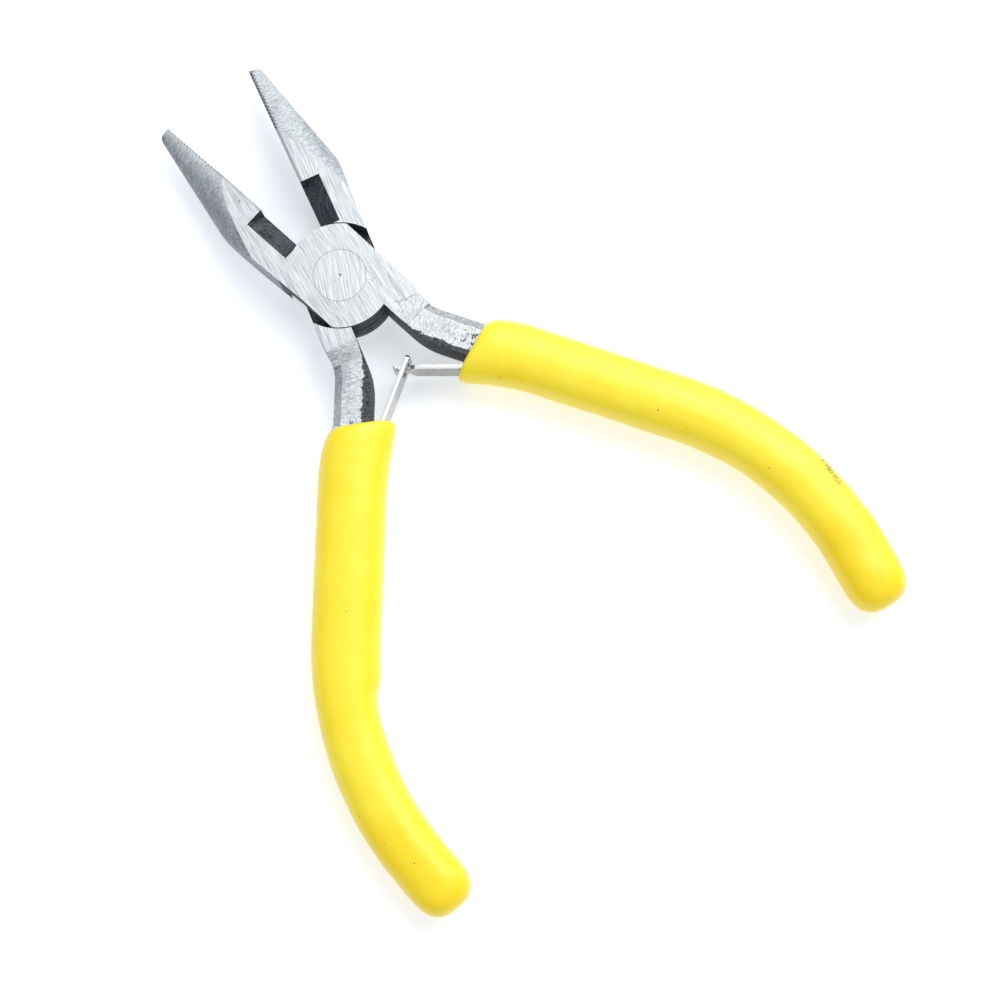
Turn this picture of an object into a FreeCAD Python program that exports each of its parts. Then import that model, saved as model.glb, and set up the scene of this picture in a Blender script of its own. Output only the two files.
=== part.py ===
"""Long nose pliers with a lap joint, dipped grips and a pair of linked leaf springs.

Units are millimetres. +Z is the pivot axis, +Y points from the pivot to the jaw tips, and the
origin is the middle of the rivet's lower head, flush with the underside of the joint.
Both levers are one forging. It is drawn closed, for the upper lever: jaw on the -X side, handle
on the +X side, cheek on top. The lower lever is that shape turned over about Y. Only the set of
the jaws against the handles differs, because both jaws lean the same way.
"""
import FreeCAD, Part
import math
import os
from FreeCAD import Vector

# Joint
JOINT_THICKNESS = 7.0
CHEEK_RADIUS = 7.9
CHEEK_FLANK = 6.35        # half the width over the straight sides of the joint
CHEEK_SIDE_GAP = 0.06     # between the two cheeks
SHOULDER_GAP = 0.15       # between a cheek's rim and the other lever's shoulder
REST_OPENING = 23.6       # angle between the levers when the springs hold them open

# Pivot rivet
RIVET_SHAFT_RADIUS = 2.5
RIVET_HEAD_RADIUS = 3.95
RIVET_HEAD_DEPTH = 1.2
RIVET_RUNNING_GAP = 0.05
PUNCH_RADIUS = 0.25
PUNCH_DEPTH = 0.18

# Jaw
JAW_LENGTH = 35.6
JAW_SET = 1.5             # degrees that both jaws are set to the left of the handles' middle line
JAW_ROOT_WIDTH = 6.95     # inner face to outer side, at the widest place
JAW_SHOULDER_Y = 17.6     # where the nose starts to taper
JAW_FACE_GAP = 0.15       # from the middle plane to a closed jaw's face, at the tip
JAW_FACE_RELIEF = 0.6     # degrees that the face leans away, so that the tips meet first
TIP_WIDTH = 1.9
TIP_HALF_HEIGHT = 1.35
JAW_TIP_ROUND = 0.8
JAW_SHOULDER_ROUND = 7.0
JAW_FLANK_Y = 2.0         # where the jaw's side meets the joint's flank
JAW_FLANK_ROUND = 12.0
NOSE_HEIGHT_SLOPE = 0.173  # growth of the nose's half height per millimetre behind the tip
NOSE_REACH = 12.0         # how far the nose's rounding fades out behind the taper's start

# Gripping teeth
TOOTH_COUNT = 16
TOOTH_PITCH = 0.66
TOOTH_DEPTH = 0.3
TOOTH_LIFT = 0.06         # how far a groove's cutting shape stands above the face
TOOTH_START = 0.35        # from the tip to the first groove

# Wire cutter
CUTTER_FRONT_Y = 15.55
CUTTER_BACK_Y = 7.7
CUTTER_DEPTH = 3.4        # from the middle plane to the cutter's back wall, at the surface
CUTTER_EDGE_GAP = 0.3
CUTTER_EDGE_LAND = 0.15   # half the flat on the cutting edge

# Tang: the steel inside and in front of a grip
TANG_WIDTH = 5.4
TANG_THICKNESS = 6.0
TANG_BEVEL = 1.2
TANG_END = 65.5           # along the handle, from the grip's mouth
NECK_INNER_X = 1.35
NECK_OUTER_X = 6.0
NECK_INNER_ROUND = 12.0
NECK_OUTER_ROUND = 8.0
NECK_STEP_Y = -9.2        # where the joint's flank ends, and where the neck's outer side begins
NECK_CORNER_Y = -10.6
NECK_CORNER_ROUND = 1.2
RAMP_START_Y = -9.9       # where the joint's full thickness ends
RAMP_END_Y = -12.4
RAMP_ROUND = 3.0

# Handle line: straight, then bent inwards, then straight
MOUTH_X = 7.0
MOUTH_Y = -21.5
HANDLE_SPLAY = 24.3
HANDLE_STRAIGHT = 31.0
HANDLE_BEND_RADIUS = 45.0
HANDLE_BEND_ANGLE = 42.3

# Grip
GRIP_LENGTH = 72.8
GRIP_MOUTH_LIP = 0.2      # how far the mouth reaches past the handle line's start
GRIP_MOUTH_SLANT = 11.0   # degrees from square to the handle
GRIP_THICKNESS = 8.4
GRIP_WIDTH = 9.5
GRIP_TAIL_WIDTH = 8.8
GRIP_TAIL_FROM = 32.0     # where the width starts to drop, and over what length
GRIP_TAIL_OVER = 10.0
GRIP_FLARE = 1.0          # extra width on the inner side at the mouth, over the leaf spring
GRIP_FLARE_LENGTH = 9.0
GRIP_PINCH = 1.2          # width lost on the outer side at the mouth
GRIP_PINCH_LENGTH = 11.0
GRIP_CORNER = 3.4
GRIP_CAP_LENGTH = 5.0
GRIP_CAP_TURN = 82.5      # degrees of the cap's rounding, the rest being its flat end

# Leaf springs
LEAF_THICKNESS = 0.6
LEAF_WIDTH = 5.0
LEAF_ROOT_START = 3.5     # along the handle
LEAF_ROOT_END = 38.0
LEAF_BEND_AT = 2.8
LEAF_TANG_GAP = 0.15      # from the moving blade to the tang's face, at the bend
LEAF_CROSSING_Y = -16.5   # where the two blades cross at rest
TONGUE_WIDTH = 1.8
TONGUE_STEP = 0.7         # flat part of the shoulder on each side of the tongue
TONGUE_BEFORE = 0.95      # from the shoulder to the crossing
TONGUE_AFTER = 0.95       # from the crossing to the cross bar
CROSS_BAR_LENGTH = 3.6
CROSS_BAR_WIDTH = 0.6
SLOT_HALF_LENGTH = 1.15
SLOT_GAP = 0.3            # above and below the tongue
SLOT_END_WALL = 0.75
SLOT_END_CORNER = 0.5
POCKET_GAP = 0.4          # around a blade where it moves inside a grip
POCKET_REACH = 9.0        # from the bend to outside the grip

# Rivet that holds a leaf spring's root to its tang
LEAF_RIVET_AT = 26.0
LEAF_RIVET_RADIUS = 0.7
LEAF_RIVET_HEAD_RADIUS = 1.2
LEAF_RIVET_HEAD_HEIGHT = 0.6
LEAF_RIVET_DEPTH = 2.6

MIDDLE = JOINT_THICKNESS / 2
HALF_OPENING = REST_OPENING / 2
FAR = 200.0               # larger than anything in the part
MARGIN = 1.0              # how far a cutting shape runs past the surface that it cuts
TOLERANCE = 1e-6
UP = Vector(0, 0, 1)
ORIGIN = Vector(0, 0, 0)


def outline(corners):
    """Closed wire through (x, y, radius) corners, each rounded by its radius."""
    count = len(corners)
    points = [Vector(x, y, 0) for x, y, radius in corners]
    ends = []
    edges = []
    for i, (x, y, radius) in enumerate(corners):
        before = (points[i - 1] - points[i]).normalize()
        after = (points[(i + 1) % count] - points[i]).normalize()
        half = before.getAngle(after) / 2
        if radius == 0:
            ends.append((points[i], points[i]))
            continue
        cut = radius / math.tan(half)
        start = points[i] + before * cut
        end = points[i] + after * cut
        inward = (before + after).normalize()
        top = points[i] + inward * (radius / math.sin(half) - radius)
        edges.append(Part.Arc(start, top, end).toShape())
        ends.append((start, end))
    for i in range(count):
        start = ends[i][1]
        end = ends[(i + 1) % count][0]
        if (end - start).Length > TOLERANCE:
            edges.append(Part.LineSegment(start, end).toShape())
    return Part.Wire(Part.__sortEdges__(edges))


def plate(wire, low, high):
    """Flat plate of the wire's outline between two heights."""
    face = Part.Face(wire)
    face.translate(Vector(0, 0, low))
    return face.extrude(Vector(0, 0, high - low))


def block(x0, y0, z0, x1, y1, z1):
    return Part.makeBox(x1 - x0, y1 - y0, z1 - z0, Vector(x0, y0, z0))


def turned(shape, degrees, centre=ORIGIN):
    copy = shape.copy()
    copy.rotate(centre, UP, degrees)
    return copy


def handle_point(along, inward=0.0):
    """Point at a distance along the handle line, offset towards the other handle."""
    splay = math.radians(HANDLE_SPLAY)
    if along <= HANDLE_STRAIGHT:
        x = MOUTH_X + along * math.sin(splay)
        y = MOUTH_Y - along * math.cos(splay)
        heading = splay
    else:
        bend_x = MOUTH_X + HANDLE_STRAIGHT * math.sin(splay)
        bend_y = MOUTH_Y - HANDLE_STRAIGHT * math.cos(splay)
        centre_x = bend_x - HANDLE_BEND_RADIUS * math.cos(splay)
        centre_y = bend_y - HANDLE_BEND_RADIUS * math.sin(splay)
        whole = math.radians(HANDLE_BEND_ANGLE)
        turn = min((along - HANDLE_STRAIGHT) / HANDLE_BEND_RADIUS, whole)
        tail = along - HANDLE_STRAIGHT - turn * HANDLE_BEND_RADIUS
        heading = splay - turn
        x = centre_x + HANDLE_BEND_RADIUS * math.cos(heading) + tail * math.sin(heading)
        y = centre_y + HANDLE_BEND_RADIUS * math.sin(heading) - tail * math.cos(heading)
    return Vector(x - inward * math.cos(heading), y - inward * math.sin(heading), 0), heading


def handle_edge(start, end, inward):
    """Edges that follow the handle line at one offset, from one station to another."""
    bend_end = HANDLE_STRAIGHT + HANDLE_BEND_RADIUS * math.radians(HANDLE_BEND_ANGLE)
    stops = [start] + [s for s in (HANDLE_STRAIGHT, bend_end) if start < s < end] + [end]
    edges = []
    for first, last in zip(stops, stops[1:]):
        middle = (first + last) / 2
        a = handle_point(first, inward)[0]
        b = handle_point(middle, inward)[0]
        c = handle_point(last, inward)[0]
        if HANDLE_STRAIGHT <= first and last <= bend_end:
            edges.append(Part.Arc(a, b, c).toShape())
        else:
            edges.append(Part.LineSegment(a, c).toShape())
    return edges


def handle_band(start, end, inner, outer, low, high):
    """Plate that follows the handle between two offsets, inner being nearer the other handle."""
    edges = handle_edge(start, end, inner) + handle_edge(start, end, outer)
    for station in (start, end):
        a = handle_point(station, inner)[0]
        b = handle_point(station, outer)[0]
        edges.append(Part.LineSegment(a, b).toShape())
    return plate(Part.Wire(Part.__sortEdges__(edges)), low, high)


def nose_cone():
    """Half of an elliptic cone that gives the jaw its rounded, tapering nose."""
    slope = (JAW_ROOT_WIDTH - TIP_WIDTH - JAW_FACE_GAP) / (JAW_LENGTH - JAW_SHOULDER_Y)
    sections = []
    for y in (JAW_SHOULDER_Y - NOSE_REACH, JAW_LENGTH + MARGIN):
        back = JAW_LENGTH - y
        wide = TIP_WIDTH + JAW_FACE_GAP + slope * back
        tall = TIP_HALF_HEIGHT + NOSE_HEIGHT_SLOPE * back
        low = Vector(0, y, MIDDLE - tall)
        high = Vector(0, y, MIDDLE + tall)
        major, minor = max(wide, tall), min(wide, tall)
        across = Vector(-wide, 0, 0) if wide >= tall else Vector(0, 0, tall)
        beside = Vector(0, 0, tall) if wide >= tall else Vector(-wide, 0, 0)
        centre = Vector(0, y, MIDDLE)
        curve = Part.Ellipse(centre + across, centre + beside, centre)
        start, end = curve.parameter(low), curve.parameter(high)
        arc = curve.toShape(start, end)
        if arc.BoundBox.XMax > 0.01:
            arc = curve.toShape(end, start + 2 * math.pi)
        sections.append(Part.Wire([arc, Part.LineSegment(high, low).toShape()]))
    return Part.makeLoft(sections, True, True)


def jaw():
    """Jaw up to the pivot, at full thickness, with its rounded nose."""
    sides = outline([
        (MARGIN, JAW_LENGTH, 0),
        (-TIP_WIDTH - JAW_FACE_GAP, JAW_LENGTH, JAW_TIP_ROUND),
        (-JAW_ROOT_WIDTH, JAW_SHOULDER_Y, JAW_SHOULDER_ROUND),
        (-CHEEK_FLANK, JAW_FLANK_Y, JAW_FLANK_ROUND),
        (-CHEEK_FLANK, 0, 0),
        (MARGIN, 0, 0),
    ])
    body = plate(sides, 0, JOINT_THICKNESS)
    nose_start = JAW_SHOULDER_Y - NOSE_REACH
    behind = body.common(block(-FAR, -FAR, -FAR, FAR, nose_start, FAR))
    nose = body.common(block(-FAR, nose_start, -FAR, FAR, FAR, FAR)).common(nose_cone())
    return behind.fuse(nose)


def gripping_face_cut():
    """Removes everything on the far side of the gripping face, and the grooves between teeth."""
    side = block(-JAW_FACE_GAP, -FAR, -FAR, FAR, FAR, FAR)
    relief_centre = Vector(-JAW_FACE_GAP, JAW_LENGTH, 0)
    side = turned(side, -JAW_FACE_RELIEF, relief_centre)
    cuts = [side]
    for i in range(TOOTH_COUNT):
        middle = JAW_LENGTH - TOOTH_START - (i + 0.5) * TOOTH_PITCH
        half = TOOTH_PITCH / 2 * (1 + TOOTH_LIFT / TOOTH_DEPTH)
        groove = outline([
            (-JAW_FACE_GAP - TOOTH_DEPTH, middle, 0),
            (-JAW_FACE_GAP + TOOTH_LIFT, middle + half, 0),
            (-JAW_FACE_GAP + TOOTH_LIFT, middle - half, 0),
        ])
        groove = plate(groove, -MARGIN, JOINT_THICKNESS + MARGIN)
        cuts.append(turned(groove, -JAW_FACE_RELIEF, relief_centre))
    return cuts


def cutter_recess():
    """Bevelled recesses above and below the cutting edge, as far as the cheek's rim."""
    low, high = MIDDLE - CUTTER_EDGE_LAND, MIDDLE + CUTTER_EDGE_LAND
    lead = (CUTTER_DEPTH - CUTTER_EDGE_GAP) / (JOINT_THICKNESS - high) * MARGIN
    cuts = []
    for edge_z, over in ((high, JOINT_THICKNESS + MARGIN), (low, -MARGIN)):
        profile = Part.makePolygon([
            Vector(-CUTTER_EDGE_GAP, 0, edge_z),
            Vector(-CUTTER_DEPTH - lead, 0, over),
            Vector(MARGIN, 0, over),
            Vector(MARGIN, 0, edge_z),
            Vector(-CUTTER_EDGE_GAP, 0, edge_z),
        ])
        recess = Part.Face(profile).extrude(Vector(0, CUTTER_FRONT_Y - CUTTER_BACK_Y, 0))
        recess.translate(Vector(0, CUTTER_BACK_Y, 0))
        cuts.append(recess)
    rim = Part.makeCylinder(CHEEK_RADIUS, JOINT_THICKNESS * 2, Vector(0, 0, -MIDDLE))
    return [cut.cut(rim) for cut in cuts]


def jaw_blank():
    """Jaw with its gripping face, teeth and cutter recesses."""
    return jaw().cut(gripping_face_cut()).cut(cutter_recess())


def tang_outline():
    """Neck and tang outline, from inside the cheek to the end of the steel."""
    half = TANG_WIDTH / 2
    splay = math.radians(HANDLE_SPLAY)
    mouth_in = handle_point(0, half)[0]
    mouth_out = handle_point(0, -half)[0]
    inner_y = mouth_in.y + (mouth_in.x - NECK_INNER_X) / math.tan(splay)
    outer_y = mouth_out.y + (mouth_out.x - NECK_OUTER_X) / math.tan(splay)
    return outline([
        (NECK_INNER_X, -CHEEK_RADIUS / 2, 0),
        (NECK_INNER_X, inner_y, NECK_INNER_ROUND),
        (mouth_in.x, mouth_in.y, 0),
        (mouth_out.x, mouth_out.y, 0),
        (NECK_OUTER_X, outer_y, NECK_OUTER_ROUND),
        (NECK_OUTER_X, NECK_CORNER_Y, NECK_CORNER_ROUND),
        (CHEEK_FLANK, NECK_STEP_Y, NECK_CORNER_ROUND),
        (CHEEK_FLANK, -CHEEK_RADIUS / 2, 0),
    ])


def outer_bevel(neck):
    """Bevels the neck's long outer edges, top and underside, as far as the corner at the joint."""
    picked = []
    for edge in neck.Edges:
        first, last = [vertex.Point for vertex in edge.Vertexes]
        flat = edge.BoundBox.ZLength < TOLERANCE
        outside = min(first.x, last.x) > NECK_OUTER_X - TOLERANCE
        behind = max(first.y, last.y) < NECK_CORNER_Y
        lengthwise = abs(first.y - last.y) > abs(first.x - last.x)
        if flat and outside and behind and lengthwise:
            picked.append(edge)
    return neck.makeChamfer(TANG_BEVEL, picked)


def tang():
    """Neck and tang at their own thickness, with the ramp down from the joint's faces."""
    low = MIDDLE - TANG_THICKNESS / 2
    high = MIDDLE + TANG_THICKNESS / 2
    half = TANG_WIDTH / 2
    neck = outer_bevel(plate(tang_outline(), low, high))
    shoulder = plate(tang_outline(), 0, JOINT_THICKNESS)
    ramp = outline([
        (RAMP_START_Y, JOINT_THICKNESS, 0),
        (RAMP_END_Y, high, RAMP_ROUND),
        (-FAR, high, 0),
        (-FAR, FAR, 0),
        (RAMP_START_Y, FAR, 0),
    ])
    top = Part.Face(ramp)
    top.rotate(ORIGIN, Vector(1, 1, 1), 120)
    top = top.extrude(Vector(FAR, 0, 0))
    top.translate(Vector(-FAR / 2, 0, 0))
    under = top.mirror(Vector(0, 0, MIDDLE), UP)
    beyond = block(-FAR, -FAR, -FAR, FAR, RAMP_END_Y, FAR)
    shoulder = shoulder.cut([top, under, beyond])
    bar = handle_band(0, TANG_END, half, -half, low, high)
    return neck.fuse([shoulder, bar])


def lever(jaw_set):
    """One forging, closed, as the upper lever, its jaw set by some degrees about the pivot."""
    cheek_low = MIDDLE + CHEEK_SIDE_GAP / 2
    disc = Part.makeCylinder(CHEEK_RADIUS, JOINT_THICKNESS - cheek_low, Vector(0, 0, cheek_low))
    band = block(-CHEEK_FLANK, -FAR, -FAR, CHEEK_FLANK, FAR, FAR)
    cheek = disc.common(band)
    depth = cheek_low + MARGIN
    sweep = Part.makeCylinder(CHEEK_RADIUS + SHOULDER_GAP, depth, Vector(0, 0, -MARGIN))
    arms = [arm.cut(sweep) for arm in (turned(jaw_blank(), jaw_set), tang())]
    return cheek.fuse(arms).removeSplitter()


def rivet_shape(grow):
    """Rivet with flush conical heads, its surfaces grown by a gap for the hole that it runs in."""
    shaft = Part.makeCylinder(RIVET_SHAFT_RADIUS + grow, JOINT_THICKNESS)
    heads = []
    for face_z, direction in ((0.0, UP), (JOINT_THICKNESS, UP * -1)):
        heads.append(Part.makeCone(RIVET_HEAD_RADIUS + grow, RIVET_SHAFT_RADIUS + grow,
                                   RIVET_HEAD_DEPTH, Vector(0, 0, face_z), direction))
    return shaft.fuse(heads)


def pivot_rivet():
    punch = Part.makeCone(PUNCH_RADIUS, 0, PUNCH_DEPTH, Vector(0, 0, JOINT_THICKNESS), UP * -1)
    return rivet_shape(0).removeSplitter().cut(punch)


def grip_section(along, scale):
    """Rounded cross-section of the grip, square to the handle line."""
    point, heading = handle_point(along)
    tail = min(max((along - GRIP_TAIL_FROM) / GRIP_TAIL_OVER, 0), 1)
    half = (GRIP_WIDTH + (GRIP_TAIL_WIDTH - GRIP_WIDTH) * tail) / 2
    flare = GRIP_FLARE * max(1 - max(along, 0) / GRIP_FLARE_LENGTH, 0) ** 2
    pinch = GRIP_PINCH * max(1 - max(along, 0) / GRIP_PINCH_LENGTH, 0) ** 2
    inner = -(half + flare) * scale
    outer = (half - pinch) * scale
    height = GRIP_THICKNESS / 2 * scale
    corner = GRIP_CORNER * scale
    wire = outline([
        (inner, -height, corner),
        (outer, -height, corner),
        (outer, height, corner),
        (inner, height, corner),
    ])
    wire.rotate(ORIGIN, Vector(1, 0, 0), 90)
    wire.rotate(ORIGIN, UP, math.degrees(heading))
    wire.translate(point + Vector(0, 0, MIDDLE))
    return wire


def grip_blank():
    """Outside of a grip, solid, with a slanted mouth."""
    body_end = GRIP_LENGTH - GRIP_CAP_LENGTH
    step = GRIP_PINCH_LENGTH / 6
    stations = [(-GRIP_WIDTH / 2, 1.0)]
    stations += [(step * i, 1.0) for i in range(6)]
    stations += [(step * 6 + (body_end - step * 6) * i / 7, 1.0) for i in range(8)]
    for i in range(1, 6):
        angle = math.radians(GRIP_CAP_TURN * i / 5)
        stations.append((body_end + GRIP_CAP_LENGTH * math.sin(angle), math.cos(angle)))
    blank = Part.makeLoft([grip_section(along, scale) for along, scale in stations], True, False)
    mouth = handle_point(-GRIP_MOUTH_LIP)[0]
    ahead = block(mouth.x - FAR, mouth.y, -FAR, mouth.x + FAR, FAR, FAR)
    return blank.cut(turned(ahead, HANDLE_SPLAY - GRIP_MOUTH_SLANT, mouth))


def leaf_root():
    """Straight end of a leaf spring, flat against the tang under the grip."""
    low, high = MIDDLE - LEAF_WIDTH / 2, MIDDLE + LEAF_WIDTH / 2
    face = TANG_WIDTH / 2
    root = handle_band(LEAF_ROOT_START, LEAF_ROOT_END, face + LEAF_THICKNESS, face, low, high)
    return root.cut(leaf_rivet())


def leaf_rivet():
    """Small rivet through a leaf's root into the tang."""
    face = TANG_WIDTH / 2
    point, heading = handle_point(LEAF_RIVET_AT, face + LEAF_THICKNESS)
    point = point + Vector(0, 0, MIDDLE)
    inward = Vector(-math.cos(heading), -math.sin(heading), 0)
    head = Part.makeCylinder(LEAF_RIVET_HEAD_RADIUS, LEAF_RIVET_HEAD_HEIGHT, point, inward)
    top = point + inward * LEAF_RIVET_HEAD_HEIGHT
    rim = [edge for edge in head.Edges if edge.CenterOfMass.distanceToPoint(top) < TOLERANCE]
    head = head.makeChamfer(LEAF_RIVET_HEAD_HEIGHT / 2, rim)
    depth = LEAF_THICKNESS + LEAF_RIVET_DEPTH
    shank = Part.makeCylinder(LEAF_RIVET_RADIUS, depth, point, inward * -1)
    return head.fuse(shank).removeSplitter()


def leaf_bend():
    """Where a blade bends away from its root: the blade's hinge, in the closed lever's frame."""
    return handle_point(LEAF_BEND_AT, TANG_WIDTH / 2 + LEAF_TANG_GAP + LEAF_THICKNESS / 2)[0]


def blade_pose(opening):
    """Blade length and lean from the lever's +Y, with the levers at an opening angle."""
    bend = leaf_bend()
    spread = math.radians(HALF_OPENING)
    rest_x = bend.x * math.cos(spread) - bend.y * math.sin(spread)
    rest_y = bend.x * math.sin(spread) + bend.y * math.cos(spread)
    length = math.hypot(rest_x, LEAF_CROSSING_Y - rest_y)
    half = math.radians(opening / 2)
    x = bend.x * math.cos(half) - bend.y * math.sin(half)
    lean = math.degrees(math.asin(x / length)) - opening / 2
    return length, lean


def leaf_plate(corners):
    """Blade standing on edge with a rounded hinge end: corners are (across, along) in its plane."""
    points = [Vector(-LEAF_THICKNESS / 2, y, MIDDLE + z) for z, y in corners]
    strip = Part.Face(Part.makePolygon(points + points[:1])).extrude(Vector(LEAF_THICKNESS, 0, 0))
    low = Vector(0, 0, MIDDLE - LEAF_WIDTH / 2)
    return strip.fuse(Part.makeCylinder(LEAF_THICKNESS / 2, LEAF_WIDTH, low)).removeSplitter()


def in_lever(blade):
    """Puts a blade drawn along +Y from the origin at its bend, leaning as it does at rest."""
    copy = turned(blade, blade_pose(REST_OPENING)[1])
    copy.translate(leaf_bend())
    return copy


def tongue_blade():
    """Blade that narrows to a tongue with a cross bar."""
    length = blade_pose(REST_OPENING)[0]
    wide, narrow, bar = LEAF_WIDTH / 2, TONGUE_WIDTH / 2, CROSS_BAR_LENGTH / 2
    shoulder = length - TONGUE_BEFORE
    bar_start = length + TONGUE_AFTER
    corner = wide - narrow - TONGUE_STEP
    half = [(wide, 0), (wide, shoulder - corner), (wide - corner, shoulder), (narrow, shoulder),
            (narrow, bar_start), (bar, bar_start), (bar, bar_start + CROSS_BAR_WIDTH)]
    return in_lever(leaf_plate(half + [(-z, y) for z, y in reversed(half)]))


def slotted_blade():
    """Blade with the slot that the tongue hooks into."""
    length = blade_pose(REST_OPENING)[0]
    wide = LEAF_WIDTH / 2
    tip = length + SLOT_HALF_LENGTH + SLOT_END_WALL
    slot = TONGUE_WIDTH / 2 + SLOT_GAP
    cut = SLOT_END_CORNER
    strip = leaf_plate([(wide, 0), (wide, tip - cut), (wide - cut, tip),
                        (cut - wide, tip), (-wide, tip - cut), (-wide, 0)])
    start, end = length - SLOT_HALF_LENGTH, length + SLOT_HALF_LENGTH
    hole = block(-MARGIN, start, MIDDLE - slot, MARGIN, end, MIDDLE + slot)
    return in_lever(strip.cut(hole))


def blade_pocket():
    """Space inside a grip's mouth that a blade moves through."""
    bend = leaf_bend()
    side = LEAF_THICKNESS / 2 + POCKET_GAP
    rest = math.radians(blade_pose(REST_OPENING)[1])
    closed = math.radians(blade_pose(0)[1])
    back = handle_point(LEAF_BEND_AT + side)[0] - handle_point(LEAF_BEND_AT)[0]
    corners = []
    for lean, sign in ((rest, -1), (closed, 1)):
        across = Vector(math.cos(lean), math.sin(lean), 0) * (side * sign)
        ahead = Vector(-math.sin(lean), math.cos(lean), 0) * POCKET_REACH
        corners.append((bend + across + back, bend + across + ahead))
    route = [corners[0][0], corners[0][1], corners[1][1], corners[1][0]]
    half = LEAF_WIDTH / 2 + POCKET_GAP
    return plate(Part.makePolygon(route + route[:1]), MIDDLE - half, MIDDLE + half)


def grip(steel):
    """Dipped grip: the blank with room for the tang, the leaf's root and the moving blade."""
    return grip_blank().cut([steel, leaf_root(), leaf_rivet(), blade_pocket()])


def place(shape, upper):
    """Moves a closed upper-lever shape to its rest place as part of either lever."""
    copy = shape.copy()
    if upper:
        return turned(copy, HALF_OPENING)
    copy.rotate(Vector(0, 0, MIDDLE), Vector(0, 1, 0), 180)
    return turned(copy, -HALF_OPENING)


def main():
    fitted = grip(tang())
    nodes = {"pivot_rivet": pivot_rivet()}
    for name, side, upper, jaw_set, grow in (("upper", "right", True, JAW_SET, 0.0),
                                             ("lower", "left", False, -JAW_SET, RIVET_RUNNING_GAP)):
        steel = lever(jaw_set).cut(leaf_rivet())
        nodes[name + "_lever"] = place(steel, upper).cut(rivet_shape(grow))
        nodes[side + "_grip"] = place(fitted, upper)
        nodes[side + "_leaf_root"] = place(leaf_root(), upper)
        nodes[side + "_leaf_rivet"] = place(leaf_rivet(), upper)
    nodes["right_leaf_blade"] = place(tongue_blade(), True)
    nodes["left_leaf_blade"] = place(slotted_blade(), False)
    os.makedirs("parts", exist_ok=True)
    for name, shape in nodes.items():
        if len(shape.Solids) == 1:
            shape = shape.Solids[0]
        shape.exportStep("parts/" + name + ".step")
        print(name, "valid", shape.isValid(), "solids", len(shape.Solids), "mm3", round(shape.Volume, 1))
    print("leaf bend, closed frame:", leaf_bend())
    for opening in (REST_OPENING, HALF_OPENING, 0):
        print("opening", opening, "blade length and lean:", blade_pose(opening))


main()
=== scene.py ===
import math

import bmesh
import bpy
from mathutils import Matrix, Vector


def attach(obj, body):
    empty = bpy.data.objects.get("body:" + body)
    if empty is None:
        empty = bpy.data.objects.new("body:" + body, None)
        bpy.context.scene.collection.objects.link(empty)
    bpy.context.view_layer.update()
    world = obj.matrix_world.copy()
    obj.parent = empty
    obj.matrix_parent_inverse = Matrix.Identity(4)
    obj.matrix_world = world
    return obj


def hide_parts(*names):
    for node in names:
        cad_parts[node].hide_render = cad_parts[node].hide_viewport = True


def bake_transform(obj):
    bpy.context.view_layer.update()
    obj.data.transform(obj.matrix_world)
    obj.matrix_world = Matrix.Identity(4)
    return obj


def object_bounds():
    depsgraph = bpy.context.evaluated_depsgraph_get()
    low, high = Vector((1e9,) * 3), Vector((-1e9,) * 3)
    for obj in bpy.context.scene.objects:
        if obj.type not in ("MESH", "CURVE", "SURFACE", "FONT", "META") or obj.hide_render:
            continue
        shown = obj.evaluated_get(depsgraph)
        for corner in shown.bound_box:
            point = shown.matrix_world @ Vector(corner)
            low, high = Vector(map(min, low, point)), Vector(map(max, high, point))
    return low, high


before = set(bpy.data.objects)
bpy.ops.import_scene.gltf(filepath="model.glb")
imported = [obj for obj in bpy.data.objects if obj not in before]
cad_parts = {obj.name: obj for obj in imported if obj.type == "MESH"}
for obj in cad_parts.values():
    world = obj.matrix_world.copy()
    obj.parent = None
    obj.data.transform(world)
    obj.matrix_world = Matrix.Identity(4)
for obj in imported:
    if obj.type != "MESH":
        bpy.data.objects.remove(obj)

CAD_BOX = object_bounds()
MM = 0.001

# Sizes of the tool in millimetres and degrees. Both levers are drawn closed, as the upper one is:
# jaw on -X, handle on +X.
JOINT_THICKNESS = 7.0
MIDDLE = JOINT_THICKNESS / 2
REST_TURN = 11.8
CHEEK_RADIUS = 7.9
RIVET_HEAD_RADIUS = 3.95
PUNCH_RADIUS = 0.25
TANG_HALF_WIDTH = 2.7
TANG_HALF_THICKNESS = 3.0
NECK_INNER_X = 1.35
NECK_OUTER_X = 6.0
NECK_BEVEL = 1.2
JAW_SET = 1.5
JAW_LENGTH = 35.6
JAW_FACE_GAP = 0.15
FACE_TAPER = 0.0105        # growth of the gap at a face, per millimetre behind the tip
NOSE_TAPER = 0.28          # growth of the nose's width, per millimetre behind the tip
TIP_WIDTH = 1.9
CUTTER_FRONT_Y = 15.55
TEETH_FROM_Y = 24.6
TOOTH_PITCH = 0.66
MOUTH_X = 7.0
MOUTH_Y = -21.5
HANDLE_SPLAY = 24.3
HANDLE_STRAIGHT = 31.0
HANDLE_BEND_RADIUS = 45.0
HANDLE_BEND_ANGLE = 42.3
LEAF_THICKNESS = 0.6
LEAF_HALF_WIDTH = 2.5
LEAF_BEND_AT = 2.8
LEAF_TANG_GAP = 0.15
LEAF_CROSSING_Y = -16.5
TONGUE_REACH = 0.95        # from the crossing to the shoulder and to the cross bar
TONGUE_HALF_WIDTH = 0.9
SHOULDER_HALF_WIDTH = 1.6
SHOULDER_LENGTH = 0.75
CROSS_BAR_HALF_LENGTH = 1.8
CROSS_BAR_WIDTH = 0.6
SLOT_GAP = 0.3             # above and below the tongue
SLOT_HALF_LENGTH = 1.15
SLOT_END = 1.9             # from the crossing to the strip's end
GRIP_MOUTH_SLANT = 11.0    # degrees from square to the handle
GRIP_MOUTH_LIP = 0.2
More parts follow.
